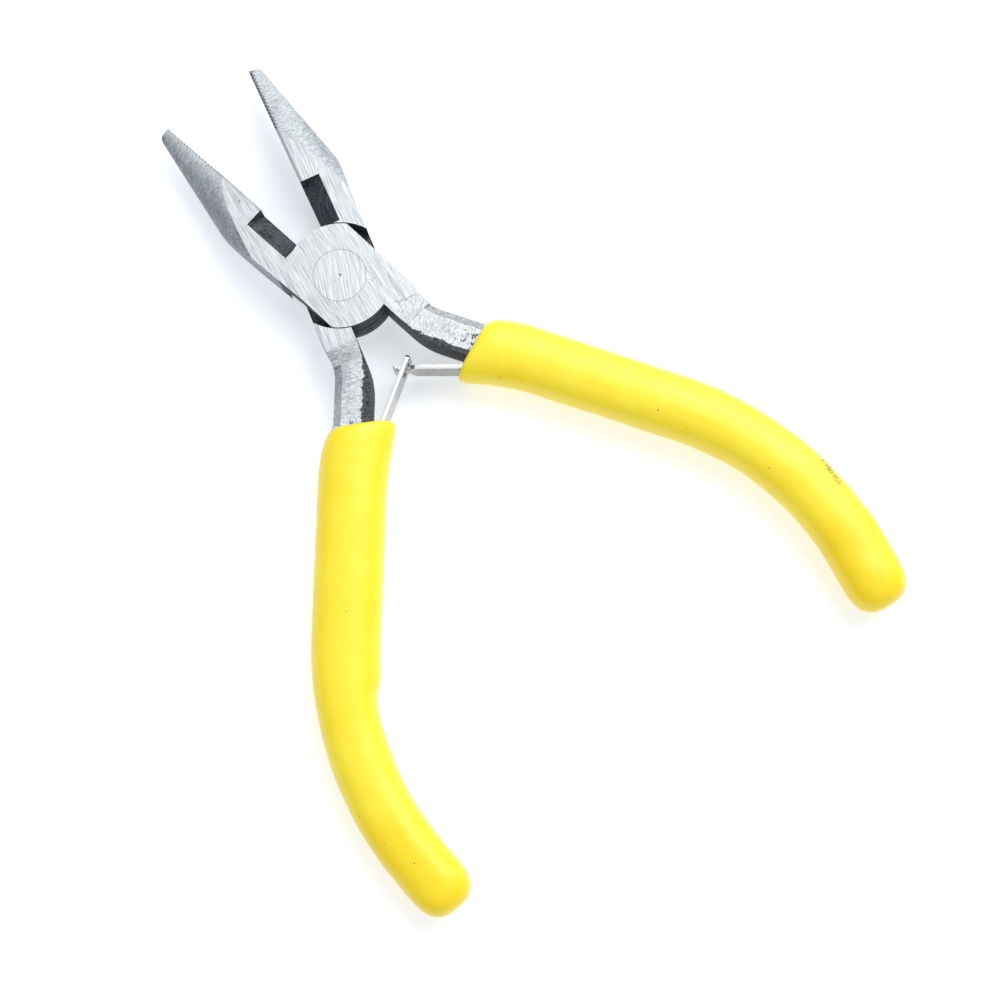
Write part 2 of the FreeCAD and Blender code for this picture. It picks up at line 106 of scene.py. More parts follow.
GRIP_SLANT_FADE = 20.0     # length over which the mouth's slant fades out


class Wire:
    """An output socket of a node. Arithmetic on it adds Math nodes to its tree."""

    def __init__(self, net, socket):
        self.net, self.socket = net, socket

    def __add__(self, other):
        return self.net.math("ADD", self, other)

    def __sub__(self, other):
        return self.net.math("SUBTRACT", self, other)

    def __mul__(self, other):
        return self.net.math("MULTIPLY", self, other)

    def __truediv__(self, other):
        return self.net.math("DIVIDE", self, other)

    def __pow__(self, other):
        return self.net.math("POWER", self, other)

    def __radd__(self, other):
        return self.net.math("ADD", other, self)

    def __rsub__(self, other):
        return self.net.math("SUBTRACT", other, self)

    def __rmul__(self, other):
        return self.net.math("MULTIPLY", other, self)

    def __rtruediv__(self, other):
        return self.net.math("DIVIDE", other, self)

    def __neg__(self):
        return self.net.math("MULTIPLY", self, -1.0)


class Net:
    """A node tree that is being wired."""

    def __init__(self, tree):
        self.tree = tree

    def add(self, kind, settings=None, sockets=None, output=0):
        """Adds a node, its settings first, then the values or links of its sockets. Returns one output."""
        node = self.tree.nodes.new(kind)
        for key, value in (settings or {}).items():
            setattr(node, key, value)
        for key, value in (sockets or {}).items():
            if isinstance(value, Wire):
                self.tree.links.new(value.socket, node.inputs[key])
            else:
                node.inputs[key].default_value = value
        return Wire(self, node.outputs[output]) if len(node.outputs) else node

    def math(self, operation, *values, clamp=False):
        settings = {"operation": operation, "use_clamp": clamp}
        return self.add("ShaderNodeMath", settings, dict(enumerate(values)))

    def least(self, a, b):
        return self.math("MINIMUM", a, b)

    def most(self, a, b):
        return self.math("MAXIMUM", a, b)

    def clamp(self, value):
        return self.math("ADD", value, 0.0, clamp=True)

    def step(self, value, low, high):
        """0 below low, 1 above high, smooth between. With low above high it falls instead."""
        sockets = {"Value": value, "From Min": low, "From Max": high, "To Min": 0.0, "To Max": 1.0}
        if low > high:
            sockets.update({"From Min": high, "From Max": low, "To Min": 1.0, "To Max": 0.0})
        return self.add("ShaderNodeMapRange", {"interpolation_type": "SMOOTHSTEP"}, sockets)

    def vector(self, operation, *values, **named):
        sockets = dict(enumerate(values))
        sockets.update(named)
        return self.add("ShaderNodeVectorMath", {"operation": operation}, sockets)

    def split(self, vector):
        node = self.add("ShaderNodeSeparateXYZ", sockets={0: vector}).socket.node
        return [Wire(self, output) for output in node.outputs]

    def join(self, x, y, z):
        return self.add("ShaderNodeCombineXYZ", sockets={0: x, 1: y, 2: z})

    def mix(self, factor, a, b):
        """Mixes two colours."""
        settings = {"data_type": "RGBA"}
        return self.add("ShaderNodeMix", settings, {0: factor, 6: a, 7: b}, output=2)

    def noise(self, vector, scale, detail=2.0, roughness=0.5, distortion=0.0):
        sockets = {"Vector": vector, "Scale": scale, "Detail": detail, "Roughness": roughness,
                   "Distortion": distortion}
        return self.add("ShaderNodeTexNoise", {"noise_dimensions": "3D"}, sockets)

    def spots(self, vector, scale, size, share):
        """Round spots, in a share of the cells: 1 inside a spot, 0 outside."""
        cells = self.add("ShaderNodeTexVoronoi", {"feature": "F1"}, {"Vector": vector, "Scale": scale})
        color = Wire(self, cells.socket.node.outputs["Color"])
        chance = self.split(color)[0]
        return self.step(cells, size, size * 0.4) * self.step(chance, share, share * 0.9)


def handle_point(along, inward=0.0):
    """Point and heading at a distance along the handle line, in the closed frame."""
    splay = math.radians(HANDLE_SPLAY)
    turn = min(max(along - HANDLE_STRAIGHT, 0) / HANDLE_BEND_RADIUS, math.radians(HANDLE_BEND_ANGLE))
    straight = min(along, HANDLE_STRAIGHT)
    tail = max(along - HANDLE_STRAIGHT - turn * HANDLE_BEND_RADIUS, 0)
    heading = splay - turn
    x = MOUTH_X + straight * math.sin(splay) + HANDLE_BEND_RADIUS * (math.cos(heading) - math.cos(splay))
    y = MOUTH_Y - straight * math.cos(splay) + HANDLE_BEND_RADIUS * (math.sin(heading) - math.sin(splay))
    x += tail * math.sin(heading) - inward * math.cos(heading)
    y -= tail * math.cos(heading) + inward * math.sin(heading)
    return Vector((x, y, 0)), heading


def rest_place(upper):
    """Matrix from the closed drawing in millimetres to a lever's place at rest in metres."""
    turn = Matrix.Rotation(math.radians(REST_TURN if upper else -REST_TURN), 4, "Z")
    over = Matrix.Identity(4)
    if not upper:
        over = Matrix.Translation((0, 0, JOINT_THICKNESS)) @ Matrix.Rotation(math.pi, 4, "Y")
    return Matrix.Scale(MM, 4) @ turn @ over


def add_object(name, mesh, material=None):
    piece = bpy.data.objects.new(name, mesh)
    bpy.context.scene.collection.objects.link(piece)
    if material:
        mesh.materials.clear()
        mesh.materials.append(material)
    return piece


def settle(piece):
    """Replaces a piece's live modifiers by their result."""
    bpy.context.view_layer.update()
    graph = bpy.context.evaluated_depsgraph_get()
    mesh = bpy.data.meshes.new_from_object(piece.evaluated_get(graph), depsgraph=graph)
    piece.modifiers.clear()
    old = piece.data
    piece.data = mesh
    bpy.data.meshes.remove(old)
    mesh.name = piece.name
    return piece


# ---------------------------------------------------------------- camera, floor and light

CAMERA_PLACE = Vector((-15.56, -88.62, 288.53)) * MM
CAMERA_TARGET = Vector((0.54, -40.42, 3.5)) * MM
CAMERA_ROLL = -35.04       # degrees
CAMERA_LENS = 72.0         # millimetres, on a sensor 36 mm wide
FLOOR_HALF = 1.5           # metres
FLOOR_GAP = 0.2 * MM       # under the lowest point of the CAD, room for the grips' lumps


def set_camera():
    data = bpy.data.cameras.new("camera")
    data.sensor_width = 36.0
    data.lens = CAMERA_LENS
    camera = add_object("camera", data)
    back = (CAMERA_PLACE - CAMERA_TARGET).normalized()
    across = Vector((0, 1, 0)).cross(back).normalized()
    up = back.cross(across)
    frame_axes = Matrix((across, up, back)).transposed().to_4x4()
    roll = Matrix.Rotation(math.radians(CAMERA_ROLL), 4, "Z")
    camera.matrix_world = Matrix.Translation(CAMERA_PLACE) @ frame_axes @ roll
    data.clip_start, data.clip_end = 0.01, 10.0
    bpy.context.scene.camera = camera


def add_area(name, place, target, size, power, color=(1, 1, 1)):
    data = bpy.data.lights.new(name, "AREA")
    data.shape = "RECTANGLE"
    data.size, data.size_y = size
    data.energy = power
    data.color = color
    light = add_object(name, data)
    light.location = place
    light.rotation_mode = "QUATERNION"
    light.rotation_quaternion = (Vector(target) - Vector(place)).to_track_quat("-Z", "Y")


def set_stage():
    scene = bpy.context.scene
    scene.view_settings.view_transform = "Standard"
    world = bpy.data.worlds.new("studio")
    scene.world = world
    world.use_nodes = True
    net = Net(world.node_tree)
    height = net.split(net.add("ShaderNodeTexCoord", output="Generated"))[2]
    tent = net.mix(net.step(height, 0.30, 0.92), (0.30, 0.32, 0.34, 1), (0.80, 0.84, 0.87, 1))
    background = world.node_tree.nodes["Background"]
    net.tree.links.new(tent.socket, background.inputs["Color"])
    background.inputs["Strength"].default_value = 1.0
    add_area("key_softbox", (0.72, 0.22, 0.52), (0, -0.03, 0), (0.9, 0.8), 5.5, (1.0, 0.99, 0.97))
    add_area("high_panel", (0.40, 0.16, 0.80), (0, -0.03, 0), (0.4, 0.4), 2.0)
    mesh = bpy.data.meshes.new("floor")
    low = CAD_BOX[0].z - FLOOR_GAP
    corners = [(FLOOR_HALF * x, FLOOR_HALF * y, low) for x, y in ((-1, -1), (1, -1), (1, 1), (-1, 1))]
    mesh.from_pydata(corners, [], [(0, 1, 2, 3)])
    material = bpy.data.materials.new("white_sweep")
    material.use_nodes = True
    net = Net(material.node_tree)
    shader = material.node_tree.nodes["Principled BSDF"]
    shader.inputs["Roughness"].default_value = 0.9
    shader.inputs["Specular IOR Level"].default_value = 0.2
    place = net.add("ShaderNodeTexCoord", output="Object")
    mottle = net.noise(place, 9.0, 3.0)
    color = net.mix(mottle, (0.72, 0.75, 0.82, 1), (0.75, 0.78, 0.84, 1))
    material.node_tree.links.new(color.socket, shader.inputs["Base Color"])
    shader.inputs["Emission Color"].default_value = (1.0, 1.0, 1.0, 1)
    shader.inputs["Emission Strength"].default_value = 0.44
    floor = add_object("floor", mesh, material)


# ---------------------------------------------------------------- materials

def new_material(name):
    """A material with its Principled shader, and the net to wire it with."""
    material = bpy.data.materials.new(name)
    material.use_nodes = True
    shader = material.node_tree.nodes["Principled BSDF"]
    return material, Net(material.node_tree), shader


def finish_shader(net, shader, color=None, roughness=None, metallic=None, height=None, depth=0.0001):
    for key, value in (("Base Color", color), ("Roughness", roughness), ("Metallic", metallic)):
        if isinstance(value, Wire):
            net.tree.links.new(value.socket, shader.inputs[key])
        elif value is not None:
            shader.inputs[key].default_value = value
    if height is not None:
        bump = net.add("ShaderNodeBump", sockets={"Height": height, "Strength": 1.0, "Distance": depth})
        net.tree.links.new(bump.socket, shader.inputs["Normal"])


def closed_coordinates(net, upper):
    """A lever's object coordinates in millimetres in the closed drawing, and the normal there."""
    source = net.add("ShaderNodeTexCoord", output="Object").socket.node
    place = net.vector("SCALE", Wire(net, source.outputs["Object"]), Scale=1 / MM)
    normal = Wire(net, source.outputs["Normal"])
    turn = math.radians(-REST_TURN if upper else REST_TURN)
    results = []
    for vector in (place, normal):
        settings = {"rotation_type": "Z_AXIS"}
        vector = net.add("ShaderNodeVectorRotate", settings, {"Vector": vector, "Angle": turn})
        results.append(net.split(vector))
    (x, y, z), (nx, ny, nz) = results
    if not upper:
        x, z = -x, JOINT_THICKNESS - z
        nx, nz = -nx, -nz
    return x, y, z, nx, ny, nz


# ground steel's colours at tone 0 and 1, and its lines' angles from +Y in degrees
GROUND_DARK = (0.31, 0.33, 0.345, 1)
GROUND_LIGHT = (0.74, 0.76, 0.77, 1)
UPPER_GRIND, LOWER_GRIND, RIVET_GRIND = -14.0, 0.0, -22.0

# marks on the upper lever, and the middle of the round tool marks in the recesses
PINHOLE = (-2.06, 18.87)
RUST_DOT = (-2.59, 35.2)
DENT = (-1.48, -5.26)
NICK = ((2.3, -3.2), (2.7, -4.1), (3.3, -4.0))
ARC_CENTRE = (-5.5, 10.0)


def brush_lines(net, x, y, degrees, fine, long):
    """Straight grinding lines at an angle from +Y, fine per millimetre across and long along: 0 to 1."""
    turn = math.radians(degrees)
    across = x * math.cos(turn) + y * math.sin(turn)
    along = y * math.cos(turn) - x * math.sin(turn)
    return net.noise(net.join(across * fine, along * long, 0.0), 1.0, 5.0, 0.72)


def ground_tone(net, x, y, degrees, middle):
    """Brightness of a ground face: fine lines, broad bands and a few deep scratches."""
    lines = brush_lines(net, x, y, degrees, 6.5, 0.20)
    bands = brush_lines(net, x, y, degrees + 3, 1.6, 0.07)
    deep = brush_lines(net, x, y, degrees - 2, 3.4, 0.08)
    stray = brush_lines(net, x, y, degrees + 9, 2.6, 0.12)
    tone = net.clamp((lines - 0.5) * 3.5 + (bands - 0.5) * 0.55 + middle)
    tone = tone - net.step(deep, 0.575, 0.62) * 0.55 - net.step(stray, 0.62, 0.66) * 0.45
    return net.clamp(tone), lines


def scratch(net, x, y, start, end, width):
    """Thin mark between two points: 1 on it."""
    a, b = Vector(start), Vector(end)
    direction = (b - a).normalized()
    along = (x - a.x) * direction.x + (y - a.y) * direction.y
    off = net.math("ABSOLUTE", (y - a.y) * direction.x - (x - a.x) * direction.y)
    length = (b - a).length
    over = net.most(along - length, -along)
    return net.step(net.most(off, over), width, width * 0.4)


def distance(net, x, y, place):
    """Distance from a point of the closed drawing, seen along Z."""
    return net.math("SQRT", (x - place[0]) ** 2.0 + (y - place[1]) ** 2.0)


def nose_steel(net, upper, jaw_y, face, cross, coarse):
    """Colour of a nose: painted light and shade in bands along it, under the marks across it."""
    share = face / ((JAW_LENGTH - jaw_y) * NOSE_TAPER + TIP_WIDTH)
    # painted light and shade: the upper nose is lighter next to its gripping face and darker over its middle
    # and outer side; the lower nose is darker on its outer side towards its root
    if upper:
        painted_light_and_shade = net.step(share, 0.35, 0.10) * 0.30 - net.step(share, 0.30, 0.50) * 0.20
        painted_light_and_shade = painted_light_and_shade - net.step(share, 0.62, 0.90) * 0.32
    else:
        painted_light_and_shade = 0.05 - net.step(share, 0.55, 0.85) * net.step(jaw_y, 28.0, 23.0) * 0.30
    tone = net.clamp((cross - 0.5) * 3.8 + (coarse - 0.5) * 0.5 + painted_light_and_shade + 0.58)
    return net.mix(tone, (0.25, 0.27, 0.285, 1), (0.64, 0.67, 0.685, 1))


def tang_steel(net, upper, place, lateral, along, wave, grain, coarse):
    """Colour of a neck and tang: ground across, worn dark next to the grip, with painted shade in the lower
    lever's hollow behind the shoulder.
    """
    x, y, z = place
    rub = net.noise(net.join(lateral * 1.8, (along + wave * 0.5) * 7.6, z), 1.0, 5.0, 0.74, 0.1)
    # painted shade: on the lower lever the tang's outer side is darkened just behind the shoulder, where its
    # top face dips
    hollow = 0.0
    if not upper:
        hollow = net.step(lateral, -1.6, 2.4) * net.step(y, -8.6, -10.4) * net.step(y, -20.0, -14.0)
    tone = (rub - 0.5) * 3.2 + (grain - 0.5) * 0.9 + (coarse - 0.5) * 0.5 + (0.68 if upper else 0.70)
    tone = net.clamp(tone - hollow * 0.36)
    color = net.mix(tone, (0.25, 0.265, 0.275, 1), (0.72, 0.735, 0.745, 1))
    patches = net.noise(net.join(x * 1.5, y * 1.5, z), 1.0, 5.0, 0.7)
    worn = net.step(along, -6.5 if upper else -3.5, -1.5) * net.step(patches, 0.54, 0.60)
    worn = worn * net.step(lateral, 1.6, 0.4)
    return net.mix(worn, color, (0.035, 0.037, 0.04, 1))


def dark_scale(net, place, jaw_x, jaw_y, up, grain, coarse, fleck):
    """Colour of the forging scale: brownish specks, round tool marks, and bands of painted light and shade up
    the cheek's rim wall in place of a ridged rim.
    """
    x, y, z = place
    arcs = net.noise(net.join(distance(net, jaw_x, jaw_y, ARC_CENTRE) * 2.8, z * 0.4, 0.0), 1.0, 2.0)
    radius = net.math("SQRT", x * x + y * y)
    rim = net.step(radius, CHEEK_RADIUS + 0.5, CHEEK_RADIUS + 0.3) * net.step(y, 1.0, -1.0)
    rim = rim * net.step(up, 0.5, 0.3)
    # painted light and shade: light and dark bands up the cheek's rim wall stand in for a ridged rim
    painted_ridge_shading = net.math("SINE", z * 4.4) * rim
    tone = (grain - 0.5) * 1.6 + (fleck - 0.5) * 0.9 + (arcs - 0.5) * 1.2 + painted_ridge_shading * 0.4 + 0.40
    color = net.mix(net.clamp(tone), (0.016, 0.021, 0.026, 1), (0.130, 0.152, 0.172, 1))
    rust = net.step(fleck, 0.54, 0.64) * net.step(coarse, 0.40, 0.56) * 0.8
    return net.mix(rust, color, (0.20, 0.135, 0.10, 1))


def upper_marks(net, marks, x, y, place, wave):
    """Adds the upper lever's pinhole, scar across the neck, dent and nick to its pits."""
    marks = marks + net.step(distance(net, x, y, PINHOLE), 0.24, 0.12) * 0.6
    scar = net.noise(net.join(x * 0.9, 0.0, 0.0), 1.0, 2.0) * 1.8
    off = net.math("ABSOLUTE", y + 9.6 + (x - 4.0) * 0.45 + scar - 0.9)
    marks = marks + net.step(off, 0.10, 0.03) * net.step(x, 2.2, 2.7) * net.step(x, 6.0, 5.4) * 0.55
    broken = net.step(net.noise(place, 3.8, 3.0, 0.7), 0.54, 0.62)
    marks = marks + net.step(distance(net, x, y, DENT), 0.85, 0.4) * broken * 0.4
    for start, end in zip(NICK, NICK[1:]):
        marks = marks + scratch(net, x + wave * 0.8 - 0.4, y, start, end, 0.07) * 0.4
    return marks


def lever_steel(name, upper, flat_turn):
    """Forging: bright ground faces, cross-ground nose, dark scale in the recesses and on the walls."""
    material, net, shader = new_material(name)
    x, y, z, nx, ny, nz = closed_coordinates(net, upper)
    place = net.join(x, y, z)
    up = net.math("ABSOLUTE", nz)
    level = net.math("ABSOLUTE", z - MIDDLE)
    jaw_turn = math.radians(JAW_SET if upper else -JAW_SET)
    jaw_x = x * math.cos(jaw_turn) + y * math.sin(jaw_turn)
    jaw_y = y * math.cos(jaw_turn) - x * math.sin(jaw_turn)
    splay = math.radians(HANDLE_SPLAY)
    lateral = (x - MOUTH_X) * math.cos(splay) + (y - MOUTH_Y) * math.sin(splay)
    along = (x - MOUTH_X) * math.sin(splay) - (y - MOUTH_Y) * math.cos(splay)

    grain = net.noise(place, 2.4, 6.0, 0.6)
    coarse = net.noise(place, 0.5, 3.0)
    fleck = net.noise(place, 5.0, 3.0, 0.7)
    wave = net.noise(net.join(jaw_x * 0.9, jaw_y * 0.5, z), 1.0, 2.0)
    cross = net.noise(net.join(jaw_x * 1.6, (jaw_y + wave * 1.1) * 7.0, z * 1.2), 1.0, 5.0, 0.72, 0.1)
    face = -jaw_x - (JAW_LENGTH - jaw_y) * FACE_TAPER - JAW_FACE_GAP

    flat_tone, lines = ground_tone(net, x, y, flat_turn, 0.66)
    flat_color = net.mix(flat_tone, GROUND_DARK, GROUND_LIGHT)
    nose_color = nose_steel(net, upper, jaw_y, face, cross, coarse)
    tang_color = tang_steel(net, upper, (x, y, z), lateral, along, wave, grain, coarse)
    dark_color = dark_scale(net, (x, y, z), jaw_x, jaw_y, up, grain, coarse, fleck)

    # grey tumbled walls and bevels
    wall_tone = net.clamp((grain - 0.5) * 2.4 + (fleck - 0.5) * 2.2 + 0.5)
    wall_color = net.mix(wall_tone, (0.16, 0.17, 0.18, 1), (0.50, 0.52, 0.53, 1))
    strip_color = net.mix(wall_tone, (0.20, 0.21, 0.22, 1), (0.56, 0.58, 0.59, 1))
    bevel_color = net.mix(0.12 if upper else 0.60, strip_color, tang_color)

    # where each finish is: 1 in its zone
    on_flat = net.step(level, MIDDLE - 0.03, MIDDLE - 0.012) * net.step(up, 0.80, 0.95)
    is_jaw = net.step(y, 6.0, 6.5)
    is_wall = net.step(nx, -0.4, -0.6) * is_jaw
    open_side = net.step(nx, 0.55, 0.35)
    is_nose = is_jaw * open_side * net.step(jaw_y, CUTTER_FRONT_Y, CUTTER_FRONT_Y + 0.2)
    is_nose = is_nose * net.step(up, 0.10, 0.22)
    ground_from = 15.5 if upper else 11.0
    is_nose = net.most(is_nose, net.step(jaw_y, ground_from, ground_from + 0.8) * net.step(nx, -0.2, -0.4))
    is_nose = net.most(is_nose, net.step(jaw_y, 17.8, 18.6) * open_side)
    inside = net.least(x - NECK_INNER_X, lateral + TANG_HALF_WIDTH)
    outside = net.most(NECK_OUTER_X - x, TANG_HALF_WIDTH - lateral)
    ragged = net.noise(place, 1.3, 5.0, 0.65) * 1.9 - 0.62
    ragged = ragged * net.step(along, -13.0, -7.0) + net.step(along, -11.5, -6.5) * (0.45 if upper else 0.85)
    is_tang = net.step(y, -8.0, -8.6) * net.step(up, 0.80, 0.93) * net.step(inside - ragged, -0.04, 0.08)
    bevel = net.step(y, -8.5, -9.5) * net.step(outside, NECK_BEVEL + 0.1, NECK_BEVEL - 0.1)

    # the gripping face shows dark along its edge
    toothed = net.step(jaw_y, TEETH_FROM_Y, TEETH_FROM_Y + 0.4)
    notch = net.step(net.math("ABSOLUTE", net.math("FRACT", jaw_y / TOOTH_PITCH) - 0.5), 0.12, 0.34)
    reach, wider = (0.36, 0.0) if upper else (0.46, 0.24)
    face_edge = net.step(face + toothed * (notch * 0.30 - wider), reach, reach - 0.1)
    face_edge = face_edge * net.step(jaw_y, CUTTER_FRONT_Y - 0.15, CUTTER_FRONT_Y + 0.15)
    face_edge = face_edge * net.most(net.most(on_flat, is_nose), net.step(nx, 0.3, 0.6))
    face_edge = face_edge * (1 - toothed * (1 - notch) * (0.75 if upper else 0.35)) * (0.45 if upper else 0.9)
    face_color = net.mix(toothed, (0.26, 0.28, 0.30, 1), (0.06, 0.072, 0.085, 1))

    color = net.mix(is_wall, dark_color, wall_color)
    color = net.mix(bevel, color, bevel_color)
    color = net.mix(is_tang, color, tang_color)
    color = net.mix(is_nose, color, nose_color)
    shoulder = net.step(y + wave * 2.0, -9.4, -8.6)
    color = net.mix(on_flat * net.most(shoulder, net.step(y, -7.0, -6.0)), color, flat_color)
    color = net.mix(face_edge, color, face_color)
    marks = net.spots(place, 0.55, 0.10, 0.22) * 0.35
    if upper:
        rust_dot = net.step(distance(net, x, y, RUST_DOT), 0.34, 0.12) * 0.7
        color = net.mix(rust_dot, color, (0.20, 0.12, 0.06, 1))
        marks = upper_marks(net, marks, x, y, place, wave)
    color = net.mix(net.clamp(marks), color, (0.13, 0.14, 0.15, 1))
    bright = net.most(net.most(is_tang, is_nose), on_flat)
    shiny = bright - is_nose * (1 - on_flat) * 0.80
    metallic = shiny * 0.92 + is_wall * 0.4 + bevel * 0.5
    roughness = 0.56 - shiny * 0.15 + (grain - 0.5) * 0.10
    height = bright * (lines * 0.3 + cross * 0.3 + 0.5) + (1 - bright) * grain * 1.6 - marks * 0.8
    shader.inputs["Specular IOR Level"].default_value = 0.12
    finish_shader(net, shader, color, net.clamp(roughness), net.clamp(metallic), height, 0.00004)
    return material


def rivet_steel():
    """Rivet head, ground flush, with its own line direction."""
    material, net, shader = new_material("rivet_ground")
    source = net.add("ShaderNodeTexCoord", output="Object")
    x, y, z = net.split(net.vector("SCALE", source, Scale=1 / MM))
    tone, lines = ground_tone(net, x, y, RIVET_GRIND, 0.68)
    color = net.mix(tone, GROUND_DARK, GROUND_LIGHT)
    radius = net.math("SQRT", x * x + y * y)
    seam = net.step(radius, RIVET_HEAD_RADIUS - 0.11, RIVET_HEAD_RADIUS - 0.02)
    punch = net.step(radius, PUNCH_RADIUS + 0.01, PUNCH_RADIUS - 0.11)
    color = net.mix(net.clamp(seam * 0.8 + punch * 0.45), color, (0.10, 0.11, 0.12, 1))
    finish_shader(net, shader, color, 0.40, 0.9, lines, 0.00002)
    return material


def leaf_steel():
    """Rolled spring strip, polished, with a painted highlight along its long edges."""
    material, net, shader = new_material("spring_strip")
    source = net.add("ShaderNodeTexCoord", output="Object")
    place = net.vector("SCALE", source, Scale=1 / MM)
    x, y, z = net.split(place)
    lines = net.noise(net.join(x * 0.4, y * 0.4, z * 7.0), 1.0, 3.0)
    blots = net.noise(place, 0.9, 4.0)
    tone = net.clamp((lines - 0.5) * 0.9 + (blots - 0.5) * 0.8 + 0.4 + net.step(x, 2.0, 0.5) * 0.5)
    color = net.mix(tone, (0.22, 0.22, 0.22, 1), (0.56, 0.56, 0.55, 1))
    # painted highlight: the broad faces turn near white next to both long edges
    edge = net.step(net.math("ABSOLUTE", z - MIDDLE), LEAF_HALF_WIDTH - 0.22, LEAF_HALF_WIDTH - 0.05)
    color = net.mix(edge, color, (0.90, 0.90, 0.89, 1))
    finish_shader(net, shader, color, 0.22 + lines * 0.12, 0.95, lines, 0.00001)
    return material


def dipped_vinyl(name, upper, marks):
    """Soft yellow vinyl with specks of dirt, painted shade towards the grip's end and a faint painted glow.
    marks are scuffs: (start, end, width, strength).
    """
    material, net, shader = new_material(name)
    x, y, z, nx, ny, nz = closed_coordinates(net, upper)
    place = net.join(x, y, z)
    cloud = net.noise(place, 0.16, 4.0, 0.6)
    fine = net.noise(place, 1.3, 4.0, 0.6)
    # painted shade: the vinyl darkens towards the grip's end, below y = -72 mm
    tone = net.clamp((cloud - 0.5) * 1.1 + (fine - 0.5) * 0.3 + 0.6 - net.step(y, -72.0, -80.0) * 0.6)
    color = net.mix(tone, (0.965, 0.69, 0.003, 1), (0.99, 0.81, 0.040, 1))
    specks = net.spots(place, 0.42, 0.065, 0.55)
    dust = net.spots(place, 1.1, 0.10, 0.14)
    dirt = net.clamp(specks * 0.85 + dust * 0.35)
    flecks = net.step(net.noise(place, 3.1, 4.0, 0.75), 0.47, 0.54)
    for start, end, width, strength in marks:
        dirt = dirt + scratch(net, x, y, start, end, width) * flecks * net.step(nz, 0.1, 0.4) * strength
    color = net.mix(net.clamp(dirt), color, (0.10, 0.085, 0.03, 1))
    height = fine * 0.25 + cloud - specks * 0.8
    roughness = 0.36 + (fine - 0.5) * 0.10 + net.clamp(dirt) * 0.25
    shader.inputs["Specular IOR Level"].default_value = 0.6
    # painted light: a faint yellow glow, no lamp, that lifts the grip's shaded sides
    shader.inputs["Emission Color"].default_value = (1.0, 0.78, 0.0, 1)
    shader.inputs["Emission Strength"].default_value = 0.07
    shader.inputs["Subsurface Weight"].default_value = 0.12
    shader.inputs["Subsurface Radius"].default_value = (1.0, 0.7, 0.1)
    shader.inputs["Subsurface Scale"].default_value = 0.0012
    finish_shader(net, shader, color, roughness, 0.0, height, 0.00008)
    return material


# ---------------------------------------------------------------- grips

GRIP_SIZES = {
    "Length": 73.0, "Cap Length": 5.4, "Outer Half": 4.75, "Inner Half": 4.45, "Half Height": 4.2,
    "Tail Loss": 0.5, "Flare": 1.5, "Flare Length": 11.0, "Corner Round": 4.2, "Lip": 0.7,
    "Mouth Slant": 1.0, "Pocket Depth": 7.0, "Pocket Width": 1.9, "Step": 0.8, "Lump": 0.35, "Seed": 1.0}


def along_handle(net, along, w):
    """The handle line as nodes, w outward from it: x, y, and the heading's cosine and sine."""
    splay = math.radians(HANDLE_SPLAY)
    turned = net.most(along - HANDLE_STRAIGHT, 0.0) / HANDLE_BEND_RADIUS
    bend = net.least(turned, math.radians(HANDLE_BEND_ANGLE))
    straight = net.least(along, HANDLE_STRAIGHT)
    after = net.most(along - HANDLE_STRAIGHT - bend * HANDLE_BEND_RADIUS, 0.0)
    heading = splay - bend
    cos_h, sin_h = net.math("COSINE", heading), net.math("SINE", heading)
    x = MOUTH_X + straight * math.sin(splay) + HANDLE_BEND_RADIUS * (cos_h - math.cos(splay))
    y = MOUTH_Y - straight * math.cos(splay) + HANDLE_BEND_RADIUS * (sin_h - math.sin(splay))
    return x + after * sin_h + w * cos_h, y - after * cos_h + w * sin_h, cos_h, sin_h


